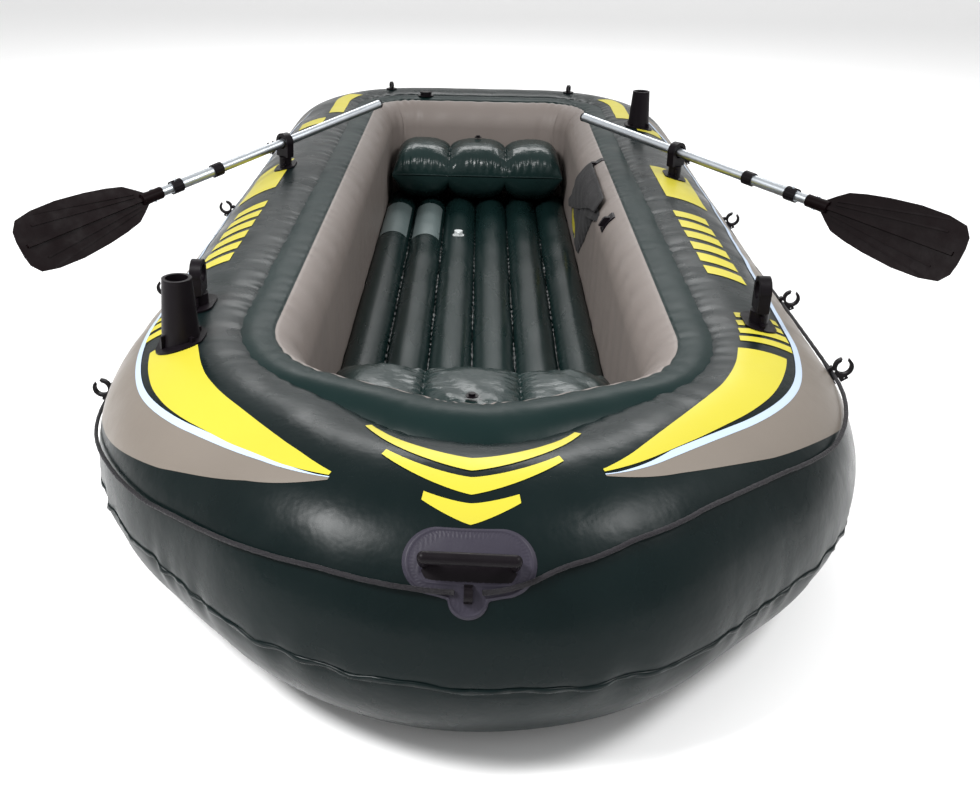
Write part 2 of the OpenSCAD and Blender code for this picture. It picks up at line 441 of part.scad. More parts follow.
outer_chamber();
inner_chamber();
bottom_sheet();
floor_chamber();
front_seat();
rear_seat();
front_seat_valve();
rear_seat_valve();
bow_handle_patch();
bow_handle_grip();
bow_rope_ring();
grab_line();
starboard_clips();
port_clips();
stern_rings();
front_starboard_lock_base();
front_port_lock_base();
rear_starboard_lock_base();
rear_port_lock_base();
front_starboard_lock_loop();
front_port_lock_loop();
rear_starboard_lock_loop();
rear_port_lock_loop();
starboard_lock_liner();
port_lock_liner();
front_rod_holder();
rear_rod_holder();
hull_valve();
hull_valve_cap();
inner_valve();
inner_valve_cap();
floor_valve();
floor_valve_cap();
gear_pouch();
pouch_flap();
pouch_hook();
pouch_toggle();
starboard_shaft_inner();
starboard_shaft_outer();
starboard_shaft_joiner();
starboard_joint_collars();
starboard_lock_button();
starboard_end_plug();
starboard_blade();
starboard_blade_rivet();
port_shaft_inner();
port_shaft_outer();
port_shaft_joiner();
port_joint_collars();
port_lock_button();
port_end_plug();
port_blade();
port_blade_rivet();
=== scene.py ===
import bpy, math
import numpy as np
from mathutils import Vector, Matrix
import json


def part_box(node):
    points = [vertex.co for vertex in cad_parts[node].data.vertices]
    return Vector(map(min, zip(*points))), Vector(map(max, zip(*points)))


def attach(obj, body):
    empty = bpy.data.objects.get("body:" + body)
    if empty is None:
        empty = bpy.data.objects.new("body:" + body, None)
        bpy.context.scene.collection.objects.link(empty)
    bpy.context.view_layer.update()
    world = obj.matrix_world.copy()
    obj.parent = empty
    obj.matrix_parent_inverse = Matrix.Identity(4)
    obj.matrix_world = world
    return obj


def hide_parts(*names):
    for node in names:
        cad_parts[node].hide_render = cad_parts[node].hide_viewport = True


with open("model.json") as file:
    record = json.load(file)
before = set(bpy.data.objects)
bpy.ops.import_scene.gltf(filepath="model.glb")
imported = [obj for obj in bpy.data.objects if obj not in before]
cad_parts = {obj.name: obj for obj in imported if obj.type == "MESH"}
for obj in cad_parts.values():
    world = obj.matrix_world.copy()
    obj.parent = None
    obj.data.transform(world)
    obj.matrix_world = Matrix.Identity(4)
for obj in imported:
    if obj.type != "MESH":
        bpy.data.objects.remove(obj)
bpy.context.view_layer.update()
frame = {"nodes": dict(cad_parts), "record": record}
sc = bpy.context.scene

# ---------------------------------------------------------------- camera
def camera():
    cam = bpy.data.cameras.new("camera")
    o = bpy.data.objects.new("camera", cam)
    sc.collection.objects.link(o)
    yaw, pitch, roll = -0.063, 0.426, 0.010
    f = Vector((math.sin(yaw)*math.cos(pitch), math.cos(yaw)*math.cos(pitch), -math.sin(pitch)))
    r = f.cross(Vector((0, 0, 1))).normalized()
    u = r.cross(f)
    r, u = r*math.cos(roll) + u*math.sin(roll), u*math.cos(roll) - r*math.sin(roll)
    m = Matrix.Identity(4)
    for i in range(3):
        m[i][0], m[i][1], m[i][2] = r[i], u[i], -f[i]
    m.translation = Vector((-0.014, -3.014, 1.227))
    o.matrix_world = m
    cam.sensor_width = 36.0
    cam.lens = 1137.8/980*36.0
    cam.shift_x = 90/980
    cam.shift_y = -16.5/980
    cam.clip_end = 60
    sc.camera = o
camera()

# ---------------------------------------------------------------- hull lines
lo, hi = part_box("outer_chamber")
R = 0.218
XS = (hi[0] - lo[0])/2 - R
YN, YS = lo[1] + R, hi[1] - R
NR, NA, SR, TR = 0.330, math.radians(46), 0.480, 0.300
_k = -(YN + NR)*math.cos(NA) + NR - SR
SHY = ((XS - SR)*math.sin(NA) - _k)/math.cos(NA)
DN = np.array([math.sin(NA), -math.cos(NA)])
PN = np.array([0, YN + NR]) + NR*DN
PS = np.array([XS - SR, SHY]) + SR*DN
L1 = NR*NA
L2 = L1 + float(np.linalg.norm(PS - PN))
L3 = L2 + SR*(math.pi/2 - NA)
L4 = L3 + (YS - TR - SHY)
L5 = L4 + TR*math.pi/2
L6 = L5 + (XS - TR)
LT = 2*L6

def line(s):
    """Centreline point and outward direction of the outer tube at distance s from the nose, port side positive."""
    s = np.asarray(s, float)
    sg = np.where(s < 0, -1.0, 1.0)
    a = np.abs(s)
    c = np.zeros(s.shape + (2,)); n = np.zeros(s.shape + (2,))
    def put(m, cc, nn):
        c[m] = cc; n[m] = nn
    m = a < L1
    t = -math.pi/2 + a[m]/NR; q = np.stack([np.cos(t), np.sin(t)], -1)
    put(m, np.array([0, YN + NR]) + NR*q, q)
    m = (a >= L1) & (a < L2)
    put(m, PN + (PS - PN)*((a[m] - L1)/(L2 - L1))[..., None], DN)
    m = (a >= L2) & (a < L3)
    t = NA - math.pi/2 + (a[m] - L2)/SR; q = np.stack([np.cos(t), np.sin(t)], -1)
    put(m, np.array([XS - SR, SHY]) + SR*q, q)
    m = (a >= L3) & (a < L4)
    put(m, np.stack([np.full(m.sum(), XS), SHY + a[m] - L3], -1), np.array([1.0, 0]))
    m = (a >= L4) & (a < L5)
    t = (a[m] - L4)/TR; q = np.stack([np.cos(t), np.sin(t)], -1)
    put(m, np.array([XS - TR, YS - TR]) + TR*q, q)
    m = a >= L5
    put(m, np.stack([XS - TR - (a[m] - L5), np.full(m.sum(), YS)], -1), np.array([0, 1.0]))
    c[..., 0] *= sg; n[..., 0] *= sg
    return c, n

_g = np.arange(-L6, L6, 0.004)
_dd = np.interp(np.abs(_g), [0, L1/2, L1, (L1 + L2)/2, L2, L2 + .35*(L3 - L2), L2 + .7*(L3 - L2), L3, L4, L4 + .5*(L5 - L4), L5, L6],
                [.187, .186, .175, .1354, .103, .086, .082, .082, .082, .094, .117, .117])
_ker = np.exp(-0.5*(np.arange(-20, 21)*0.004/0.022)**2); _ker /= _ker.sum()
_dd = np.convolve(np.concatenate([_dd[-20:], _dd, _dd[:20]]), _ker, "valid")
def inset(s): return np.interp(s, _g, _dd)

RR, RZ, RH = 0.100, 0.008, 0.420          # inner chamber: half width, underside, height
def meet(d, h):
    q = RR
    f = np.arccos(np.clip((d*d + q*q + h*h - R*R)/(2*q*np.hypot(d, h)), -1, 1)) - np.arctan2(h, d)
    return np.arctan2(h + q*np.sin(f), -d + q*np.cos(f))
TOP = lambda s: meet(inset(s), RZ + RH - RR - R)
LOW = lambda s: -meet(inset(s), R - RZ - RR)

def waves(s, lam, seed, period=LT, n=6):
    """An uneven ripple of about that wavelength that closes on itself round the hull."""
    r = np.random.default_rng(seed); o = 0
    for k in range(n):
        m = max(1, round(period/lam*(.65 + .7*r.random())))
        o = o + np.sin(2*np.pi*m*np.asarray(s)/period + 6.283*r.random())
    return o/math.sqrt(n)

def seam_angle(s):
    return np.radians(-9.0 + 1.2*waves(s, .42, 3) + 1.6*np.abs(np.sin(np.pi*s/0.100)) - .8)
def tube_bump(s, th):
    """How far the tube's skin stands off its circle: welded edges draw it into small puckers."""
    d = np.degrees(th - seam_angle(s)); t1 = np.degrees(TOP(s) - th)
    low = np.where(d < 0, 1.2, .7)
    o = -.0022*np.exp(-(d/1.1)**2) + .0030*low*np.exp(-np.abs(d)/7.0)*waves(s, .058, 11)
    o += -.0050*np.exp(-np.clip(t1, 0, None)/2.0) + .0016*np.exp(-np.clip(t1, 0, None)/7)*waves(s, .05, 12)
    o += .0007*waves(s, .33, 13)*np.sin(2*th) + .0005*waves(s, .16, 14)*np.cos(3*th + 1)
    return o
def tube(s, th, off=0.0):
    s, th = np.broadcast_arrays(np.asarray(s, float), np.asarray(th, float))
    c, n = line(s)
    r = R + tube_bump(s, th) + off
    return np.concatenate([c + n*(r*np.cos(th))[..., None], (R + r*np.sin(th))[..., None]], -1)

# ---------------------------------------------------------------- mesh helpers
def add(name, verts, faces, mats=(), fmat=None, smooth=True, uv=None):
    me = bpy.data.meshes.new(name)
    me.from_pydata([tuple(v) for v in np.asarray(verts).reshape(-1, 3)], [], [tuple(int(i) for i in f) for f in faces])
    for m in mats:
        me.materials.append(m)
    if fmat is not None:
        me.polygons.foreach_set("material_index", np.asarray(fmat, np.int32))
    if uv is not None:
        l = me.uv_layers.new(name="uv")
        idx = np.zeros(len(me.loops), np.int32); me.loops.foreach_get("vertex_index", idx)
        l.data.foreach_set("uv", np.asarray(uv, np.float32).reshape(-1, 2)[idx].ravel())
    me.polygons.foreach_set("use_smooth", np.full(len(me.polygons), smooth))
    me.update()
    o = bpy.data.objects.new(name, me)
    sc.collection.objects.link(o)
    return o

def quads(ni, nj, ci=False, cj=False, base=0, flip=False):
    i, j = np.meshgrid(np.arange(ni if ci else ni - 1), np.arange(nj if cj else nj - 1), indexing="ij")
    a = i*nj + j; b = i*nj + (j + 1) % nj; c = ((i + 1) % ni)*nj + (j + 1) % nj; d = ((i + 1) % ni)*nj + j
    q = np.stack([a, b, c, d] if not flip else [a, d, c, b], -1).reshape(-1, 4) + base
    return q

def join(parts):
    """Joins [(verts, faces, material index)] into one list."""
    V, F, M, n = [], [], [], 0
    for v, f, m in parts:
        v = np.asarray(v).reshape(-1, 3); f = np.asarray(f)
        V.append(v); F += [tuple(int(k) + n for k in q) for q in f]
        M += list(m) if hasattr(m, "__len__") else [m]*len(f)
        n += len(v)
    return np.concatenate(V), F, M

# ---------------------------------------------------------------- materials
def material(name):
    m = bpy.data.materials.new(name); m.use_nodes = True
    nt = m.node_tree; b = nt.nodes["Principled BSDF"]
    return m, nt, b
def node(nt, kind, **k):
    n = nt.nodes.new(kind)
    for a, v in k.items():
        if a.startswith("i_"):
            n.inputs[a[2:].replace("_", " ")].default_value = v
        else:
            setattr(n, a, v)
    return n
def ramp(nt, src, a, b, lo_=0.0, hi_=1.0):
    n = node(nt, "ShaderNodeMapRange"); n.inputs["From Min"].default_value = lo_; n.inputs["From Max"].default_value = hi_
    n.inputs["To Min"].default_value = a; n.inputs["To Max"].default_value = b
    nt.links.new(src, n.inputs["Value"]); return n.outputs["Result"]
def surface(name, col, rough=(.25, .4), grain=900, grain_h=.02, wrinkle=9, wrinkle_h=.25, spec=.4, coat=0.0, vary=.12, metal=0.0, sheen=0.0, stretch=(1, 1, 1), dist=.002, fine=60, fine_h=.05):
    """A finish with uneven colour, patchy gloss, fine grain and soft wrinkles."""
    m, nt, b = material(name)
    tc = node(nt, "ShaderNodeTexCoord"); mp = node(nt, "ShaderNodeMapping"); mp.inputs["Scale"].default_value = stretch
    nt.links.new(tc.outputs["Object"], mp.inputs["Vector"])
    def noise(scale, detail=3, rgh=.5):
        n = node(nt, "ShaderNodeTexNoise"); n.inputs["Scale"].default_value = scale; n.inputs["Detail"].default_value = detail; n.inputs["Roughness"].default_value = rgh
        nt.links.new(mp.outputs["Vector"], n.inputs["Vector"]); return n.outputs["Fac"]
    big, mid, small = noise(2.3, 4), noise(wrinkle, 4, .55), noise(grain, 2)
    mix = node(nt, "ShaderNodeMix", data_type="RGBA")
    c = np.array(col[:3])
    mix.inputs["A"].default_value = (*np.clip(c*(1 - vary), 0, 1), 1); mix.inputs["B"].default_value = (*np.clip(c*(1 + vary), 0, 1), 1)
    nt.links.new(ramp(nt, big, 0, 1, .3, .7), mix.inputs["Factor"])
    nt.links.new(mix.outputs["Result"], b.inputs["Base Color"])
    nt.links.new(ramp(nt, mid, rough[0], rough[1], .3, .7), b.inputs["Roughness"])
    b1 = node(nt, "ShaderNodeBump"); b1.inputs["Strength"].default_value = wrinkle_h; b1.inputs["Distance"].default_value = dist*6
    nt.links.new(mid, b1.inputs["Height"])
    b2 = node(nt, "ShaderNodeBump"); b2.inputs["Strength"].default_value = fine_h; b2.inputs["Distance"].default_value = dist
    nt.links.new(noise(fine, 3), b2.inputs["Height"]); nt.links.new(b1.outputs["Normal"], b2.inputs["Normal"])
    b3 = node(nt, "ShaderNodeBump"); b3.inputs["Strength"].default_value = grain_h; b3.inputs["Distance"].default_value = .0005
    nt.links.new(small, b3.inputs["Height"]); nt.links.new(b2.outputs["Normal"], b3.inputs["Normal"])
    nt.links.new(b3.outputs["Normal"], b.inputs["Normal"])
    b.inputs["Metallic"].default_value = metal; b.inputs["Specular IOR Level"].default_value = spec
    b.inputs["Coat Weight"].default_value = coat; b.inputs["Coat Roughness"].default_value = .12
    b.inputs["Sheen Weight"].default_value = sheen
    return m

# painted shade: the outer tube's green PVC is set to about half the deck's tone, so its colour carries the shade of
# the tube's dark low front
HULL_SHADED_GREEN = surface("hull_pvc_green_painted_shade", (.0022, .0058, .0060), rough=(.22, .36), spec=.10, wrinkle_h=.20, vary=.2)
DECK = surface("deck_pvc_green", (.0050, .0128, .0124), rough=(.28, .42), spec=.06, wrinkle_h=.14, vary=.14)
TAUPE = surface("wall_pvc_taupe", (.150, .129, .118), rough=(.42, .55), spec=.22, wrinkle_h=.10, vary=.05)
FLOOR = surface("floor_pvc", (.0040, .0120, .0116), rough=(.22, .34), spec=.14, wrinkle_h=.14, stretch=(1, .35, 1))
SEAT = surface("seat_pvc", (.0068, .0165, .0158), rough=(.18, .30), spec=.18, wrinkle=16, wrinkle_h=.35)
YELLOW = surface("print_yellow", (.42, .370, .030), rough=(.34, .46), spec=.2, wrinkle_h=.05, vary=.04)
PALE = surface("print_pale_blue", (.36, .44, .55), rough=(.40, .5), spec=.35, wrinkle_h=.05, vary=.03)
PANEL = surface("print_taupe", (.145, .125, .106), rough=(.32, .46), spec=.2, wrinkle_h=.10, vary=.07)
GREY = surface("print_grey", (.10, .13, .13), rough=(.28, .4), spec=.45, wrinkle_h=.1, vary=.14)
BLACK = surface("black_plastic", (.0045, .0033, .0045), rough=(.34, .48), spec=.09, wrinkle=40, wrinkle_h=.04, grain=1400, grain_h=.08, vary=.25)
PAD = surface("pad_pvc", (.022, .0195, .030), rough=(.42, .55), spec=.2, wrinkle=30, wrinkle_h=.06, grain=700, grain_h=.2)
BLADE = surface("blade_plastic", (.0045, .0024, .0028), rough=(.34, .5), spec=.04, wrinkle=25, wrinkle_h=.06, grain=1100, grain_h=.1, vary=.3)
ALU = surface("shaft_aluminium", (.46, .49, .52), rough=(.30, .42), spec=.5, metal=1.0, wrinkle=20, wrinkle_h=.02, grain=1500, grain_h=.1, vary=.05)
CLEAR = surface("valve_clear", (.55, .58, .58), rough=(.2, .3), spec=.5, wrinkle_h=.02, vary=.05)
ROPE = surface("rope_black", (.008, .007, .009), rough=(.6, .8), spec=.2, wrinkle=200, wrinkle_h=.3, grain=2500, grain_h=.5, sheen=.05, vary=.3)
CLOTH = surface("pouch_cloth", (.013, .0125, .0135), rough=(.65, .85), spec=.15, wrinkle=30, wrinkle_h=.2, grain=1600, grain_h=.5, sheen=.04, vary=.2)
GREENTOP = DECK

# ---------------------------------------------------------------- grab line
def sweep(name, pts, rad, nr=12, strands=3, pitch=.030, mats=(), closed=False, twist=True):
    """A laid rope along pts: the section's lobes turn as it goes."""
    pts = np.asarray(pts, float)
    t = np.gradient(pts, axis=0)
    if closed:
        t = np.roll(pts, -1, 0) - np.roll(pts, 1, 0)
    t /= np.linalg.norm(t, axis=1)[:, None]
    up = np.array([0, 0, 1.0]); u = np.cross(t, up); u /= np.linalg.norm(u, axis=1)[:, None]; v = np.cross(u, t)
    dist = np.concatenate([[0], np.cumsum(np.linalg.norm(np.diff(pts, axis=0), axis=1))])
    a = np.linspace(0, 2*np.pi, nr, endpoint=False)[None] + (2*np.pi*dist/pitch)[:, None]*(1/strands if twist else 0)
    lob = rad*(.86 + .14*np.abs(np.cos(strands/2*(np.linspace(0, 2*np.pi, nr, endpoint=False)[None] + 0*a)))) if twist else np.full(a.shape, rad)
    P = pts[:, None] + (lob*np.cos(a))[..., None]*u[:, None] + (lob*np.sin(a))[..., None]*v[:, None]
    F = [tuple(q) for q in quads(len(pts), nr, closed, True)]
    V = P.reshape(-1, 3)
    if not closed:
        F += [tuple(range(nr)), tuple(range(len(V) - 1, len(V) - nr - 1, -1))]
    return add(name, V, F, mats)

ROPE_R = .004
ROPE_OFF = ROPE_R + .0028
_star = np.array([[-1.760, .334], [-1.708, .336], [-1.640, .324], [-1.555, .307], [-1.450, .288], [-1.300, .280], [-1.150, .262], [-.958, .252], [-.942, .252], [-.750, .266], [-.498, .300], [-.482, .300], [-.150, .290], [.212, .300], [.228, .300], [.600, .290], [.992, .305], [1.008, .305], [1.300, .300], [1.560, .320], [1.760, .330]])
_port = np.array([[-1.760, .334], [-1.754, .334], [-1.737, .360], [-1.690, .376], [-1.596, .380], [-1.448, .370], [-1.293, .352], [-.958, .345], [-.942, .345], [-.750, .336], [-.498, .320], [-.482, .320], [-.150, .300], [.212, .305], [.228, .305], [.600, .295], [.992, .305], [1.008, .305], [1.300, .300], [1.560, .320], [1.760, .330]])
def rope_line(s):
    c, n = line(s)
    y = c[:, 1] + R*n[:, 1]
    z = np.where(np.asarray(s) > 0, np.interp(y, _port[:, 0], _port[:, 1]), np.interp(y, _star[:, 0], _star[:, 1]))
    k = np.ones(9)/9
    z = np.convolve(np.pad(z, 4, mode="wrap"), k, "valid")
    q = R + ROPE_OFF + .0004
    o = np.sqrt(q*q - (z - R)**2)
    return np.concatenate([c + n*o[:, None], z[:, None]], 1)
_s = np.linspace(.012, LT - .012, 2300)
_s = np.where(_s > L6, _s - LT, _s)
path = rope_line(_s)
rope = sweep("grab_line_rope", path, ROPE_R, nr=9, pitch=.045, mats=[ROPE])
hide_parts("grab_line"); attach(rope, "hull")

# ---------------------------------------------------------------- outer tube
NS = 780
S = np.linspace(-L6, L6, NS, endpoint=False)
def hull():
    nt = 112
    k = np.linspace(0, 1, nt)
    t0, t1 = LOW(S) + .02, TOP(S) + .035
    TH = t0[:, None] + (t1 - t0)[:, None]*k[None]
    P = tube(S[:, None], TH)
    TI = t1[:, None] + (t0 - t1)[:, None]*np.linspace(0, 1, 12)[None]
    Q = tube(S[:, None], TI, -.004)
    V = np.concatenate([P, Q], 1)
    o = add("outer_tube_skin", V, quads(NS, nt + 12, True, True, flip=True), [HULL_SHADED_GREEN])
    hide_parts("outer_chamber"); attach(o, "hull")
hull()

# ---------------------------------------------------------------- inner chamber
def ring(s, ph, off=0.0):
    """ph runs 0 outboard, pi/2 on top, pi inboard, 3pi/2 below."""
    s, ph = np.broadcast_arrays(np.asarray(s, float), np.asarray(ph, float))
    c, n = line(s); d = inset(s)
    deg = np.degrees(ph)
    e1 = deg - RIM
    o = -.0016*np.exp(-(e1/1.6)**2) + .0012*np.exp(-np.abs(e1)/12)*waves(s, .062, 21) + .0009*waves(s, .25, 22)*np.sin(2*ph)
    wall = np.clip((deg - 120)/30, 0, 1)*np.clip((285 - deg)/20, 0, 1)
    a = np.abs(s)
    for c0, w, h in ((L4 + .5*(L5 - L4), .007, .0055), (L1*.0, .006, .0)):
        o -= wall*h*np.exp(-((a - c0)/w)**2)
    o += wall*.0016*waves(s, .13, 23)*np.exp(-np.abs(deg - 150)/40)
    r = RR + o + off
    zc = np.where(np.sin(ph) >= 0, RZ + RH - RR, RZ + RR)
    x = -d + r*np.cos(ph)
    z = zc + r*np.sin(ph)
    return np.concatenate([c + n*x[..., None], z[..., None]], -1)
RIM = 114.0
def inner():
    st = 16
    a = np.radians(np.concatenate([np.linspace(20, RIM, 3*st, endpoint=False), np.linspace(RIM, 180, 3*st, endpoint=False), np.full(1, 180.0)]))
    mid = 2*st
    P1 = ring(S[:, None], a[None])
    top, bot = ring(S[:, None], np.array([[np.pi]]))[:, 0], None
    # straight wall from the round top to the round foot
    low = np.radians(np.linspace(180.01, 335, 4*st))
    P3 = ring(S[:, None], low[None])
    k = np.linspace(0, 1, mid + 2)[1:-1]
    P2 = P1[:, -1:, :]*(1 - k)[None, :, None] + P3[:, :1, :]*k[None, :, None]
    c, n = line(S)
    bulge = (.004*np.sin(np.pi*k))[None, :, None]
    P2[..., :2] += -0*n[:, None]*bulge
    V = np.concatenate([P1, P2, P3], 1)
    nj = V.shape[1]
    F = quads(NS, nj, True, False, flip=True)
    j = np.tile(np.arange(nj - 1), NS)
    o = add("inner_chamber_skin", V, F, [GREENTOP, TAUPE], np.where(j < 3*st, 0, 1))
    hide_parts("inner_chamber"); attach(o, "hull")
inner()

# ---------------------------------------------------------------- printed film on the tube
def strip(name, s, t_lo, t_hi, mat, off=.0009, k=10):
    """Film between two edges given along s, in degrees round the tube."""
    s = np.asarray(s, float); a = np.radians(np.asarray(t_lo, float)); b = np.radians(np.asarray(t_hi, float))
    u = np.linspace(0, 1, k + 1)
    TH = a[:, None] + (b - a)[:, None]*u[None]
    V = tube(s[:, None], TH, off)
    F = quads(len(s), k + 1, flip=(s[-1] > s[0]))
    return V, F, mat
def spline(x, xp, fp):
    """Smooth curve through the points."""
    x = np.asarray(x); xp = np.asarray(xp, float); fp = np.asarray(fp, float)
    y = np.interp(x, xp, fp)
    if len(x) > 9:
        w = max(3, len(x)//14) | 1
        k = np.hanning(w + 2)[1:-1]; k /= k.sum()
        yy = np.convolve(np.pad(y, w//2, mode="reflect", reflect_type="odd"), k, "valid")
        y = yy
    return y
def film(name, parts, mats):
    V, F, M = join(parts)
    o = add(name, V, F, mats, M)
    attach(o, "hull")
    return o
# edges on each side, as (distance from nose, degrees round the tube)
EDGE = {
 -1: dict(yo=([.172, .242, .35, .458, .53, .586, .646, .70], [66.4, 62.4, 58.4, 56.4, 55.4, 55.6, 57.4, 59.8]),
          yi=([.172, .234, .338, .454, .538, .626, .70], [68.2, 71.4, 73.2, 75.6, 78.4, 82.6, 84.5]),
          po=([.170, .214, .302, .426, .49, .574, .622, .682, .75, .986, 1.354, 1.89, 2.438, 2.75, 2.96], [65.4, 62.4, 57.4, 53.2, 51.4, 48.9, 48.6, 51, 53, 50, 45, 38, 39, 50, 62]),
          tl=([.168, .21, .258, .314, .41, .53, .61, .75, 1.0, 2.4, 2.75, 2.97], [64.6, 56.5, 49.5, 44, 36.7, 27.9, 21.6, 16, 15, 15, 28, 61]), sh=0),
 1: dict(yo=([.172, .25, .362, .486, .57, .654, .72], [74.6, 73.6, 71.9, 71.4, 70.9, 71.3, 71.2]),
         yi=([.172, .258, .378, .486, .586, .69, .72], [76.0, 81.0, 85.6, 90.0, 92.3, 94.0, 94.2]),
         po=([.170, .194, .278, .406, .506, .598, .67, .734, .986, 1.354, 1.89, 2.438, 2.75, 2.96], [73.0, 71.1, 69.6, 67.1, 65.0, 62.9, 62.5, 64.1, 60.5, 55.4, 48.1, 49.0, 60, 71]),
         tl=([.168, .19, .234, .302, .386, .474, .562, .678, .738, 1.0, 2.4, 2.75, 2.97], [72.6, 69.0, 64.6, 59.4, 54, 48.8, 43.7, 33.1, 25.1, 15, 15, 30, 70]), sh=12)}
def graphics():
    Y, Pl, T = [], [], []
    for sg in (-1, 1):
        e = EDGE[sg]
        s = np.linspace(.172, .70 if sg < 0 else .72, 90)
        a, b = spline(s, *e["yo"]), spline(s, *e["yi"])
        b = np.maximum(b, a + .05)
        Y.append(strip("y", sg*s, a, b, 0, .0011, 12))
        s = np.linspace(.170, 2.96, 330)
        po = spline(s, *e["po"]); w = 3.4*np.clip((s - .17)/.12, .15, 1)*np.clip((2.97 - s)/.2, .15, 1)
        Pl.append(strip("p", sg*s, po, po + w, 1, .0010, 4))
        tl = np.minimum(spline(s, *e["tl"]), po - .1)
        T.append(strip("t", sg*s, tl, po - .0, 2, .0006, 26))
        h = e["sh"]
        # bars behind the curved mark
        for k in range(4):
            s0 = .757 + .041*k
            s = np.linspace(s0, s0 + .026, 5)
            Y.append(strip("b", sg*s, np.full(5, 55.5 + h), np.full(5, 81.0 + h - k), 0, .0011, 12))
        # a row of slanted blocks where lettering would be
        for k in range(6):
            s0 = 1.10 + .088*k
            s = np.linspace(0, 1, 7)
            u = np.linspace(0, 1, 13)
            TH = np.radians((60 + h) + (80 - 60)*u)[None] + 0*s[:, None]
            SS = s0 + .058*s[:, None] + .045*u[None]
            V = tube(sg*SS, TH, .0011)
            Y.append((V, quads(7, 13, flip=(sg > 0)), 0))
        # long slanted block
        u = np.linspace(0, 1, 13); s = np.linspace(0, 1, 24)
        TH = np.radians(52 + h + 27*u)[None] + 0*s[:, None]
        SS = 1.72 + .34*s[:, None] + .06*u[None]
        Y.append((tube(sg*SS, TH, .0011), quads(24, 13, flip=(sg > 0)), 0))
        # stern blocks
        for a0, a1, b0, b1 in ((2.60, 2.70, 62, 84), (2.80, 3.16, 84, 97)):
            SS = a0 + (a1 - a0)*s[:, None] + .02*u[None]
            Y.append((tube(sg*SS, np.radians(b0 + (b1 - b0)*u)[None] + 0*s[:, None], .0011), quads(24, 13, flip=(sg > 0)), 0))
    # nested arrowheads on the bow deck
    for k, (t, span, w, rise) in enumerate(((56, .055, 9.0, 9), (69, .130, 9.0, 16), (82, .215, 9.0, 22))):
        s = np.linspace(-span, span, 61)
        q = np.abs(s)/span
        mid = t + rise*q**1.15
        Y.append(strip("c", s, mid, mid + w*(1 - .55*q), 0, .0011, 6))
    film("printed_marks", Y + Pl, [YELLOW, PALE])
    film("side_panels", [(v, f, 0) for v, f, m in T], [PANEL])
graphics()

# ---------------------------------------------------------------- lap seam
def lap():
    s = np.linspace(-L6, L6, NS*2, endpoint=False)
    w = np.radians(2.2 + .35*waves(s, .05, 31))
    a = seam_angle(s)
    u = np.array([-1.0, -1.0, -.4, .5, 1.0, 1.0]); h = np.array([-.002, .0016, .0034, .0036, .0020, -.002])
    V = tube(s[:, None], a[:, None] + w[:, None]*u[None]*.5, h[None] + (.0006*waves(s, .022, 32))[:, None]*(np.abs(u) < 1)[None])
    o = add("lap_seam", V, quads(len(s), 6, True, False, flip=True), [HULL_SHADED_GREEN])
    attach(o, "hull")
lap()

# ---------------------------------------------------------------- floor
FR, FP, FZ = .056, .110, .060
def floor_tubes():
    parts = []
    Y0, Y1 = [-1.160, -1.100, -.975], [1.250, 1.250, 1.190]
    for i in range(6):
        x = (i - 2.5)*FP; k = int(abs(x)/FP)
        y0, y1 = Y0[k], Y1[k]
        n = 420
        yy = np.linspace(y0 - FR, y1 + FR, n)
        e = np.clip(np.maximum(y0 - yy, yy - y1)/FR, 0, 1)
        r = FR*np.sqrt(np.clip(1 - e**2, 0, 1)) + 1e-4
        a = np.linspace(0, 2*np.pi, 44, endpoint=False)
        ca, sa = np.cos(a), np.sin(a)
        per = y1 - y0 + 2*FR
        pk = .0014*waves(yy, .045, 41 + i, per)[:, None]*np.exp(-((1 - np.abs(ca))/.10))[None]
        pk = pk + .0018*waves(a, 2*np.pi/9, 61 + i, 2*np.pi)[None]*np.exp(-((1 - e)/.5))[:, None]*(e > 0)[:, None]
        pk = pk + .0006*waves(yy, .3, 51 + i, per)[:, None]
        rr = r[:, None]*(1 + pk/FR)
        V = np.stack([x + rr*ca[None], yy[:, None] + 0*rr, FZ + rr*sa[None]], -1)
        parts.append((V, quads(n, 44, False, True), 0))
    # weld strips down the grooves
    for i in range(5):
        x = (i - 2)*FP
        yy = np.linspace(-1.10, 1.24, 300)
        u = np.array([-.009, -.005, 0, .005, .009])
        V = np.stack([x + u[None] + 0*yy[:, None], yy[:, None] + 0*u[None], FZ + .014 + .0012*waves(yy, .04, 71 + i, 2.34)[:, None] + 0*u[None] + .6*np.abs(u)[None]], -1)
        parts.append((V, quads(300, 5, flip=True), 0))
    V, F, M = join(parts)
    o = add("floor_tubes", V, F, [FLOOR], M)
    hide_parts("floor_chamber"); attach(o, "hull")
    # printed patches lying over the crowns of two tubes
    parts = []
    for x, y0, y1 in ((-.275, .66, 1.02), (-.165, .64, 1.02)):
        a = np.radians(np.linspace(38, 142, 24)); yy = np.linspace(y0, y1, 60)
        V = np.stack([x + (FR + .0012)*np.cos(a)[None] + 0*yy[:, None], yy[:, None] + 0*a[None] + .006*np.sin(7*a)[None]*0, FZ + (FR + .0012)*np.sin(a)[None] + 0*yy[:, None]], -1)
        parts.append((V, quads(60, 24), 0))
    V, F, M = join(parts)
    o = add("floor_patches", V, F, [GREY], M)
    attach(o, "hull")
floor_tubes()

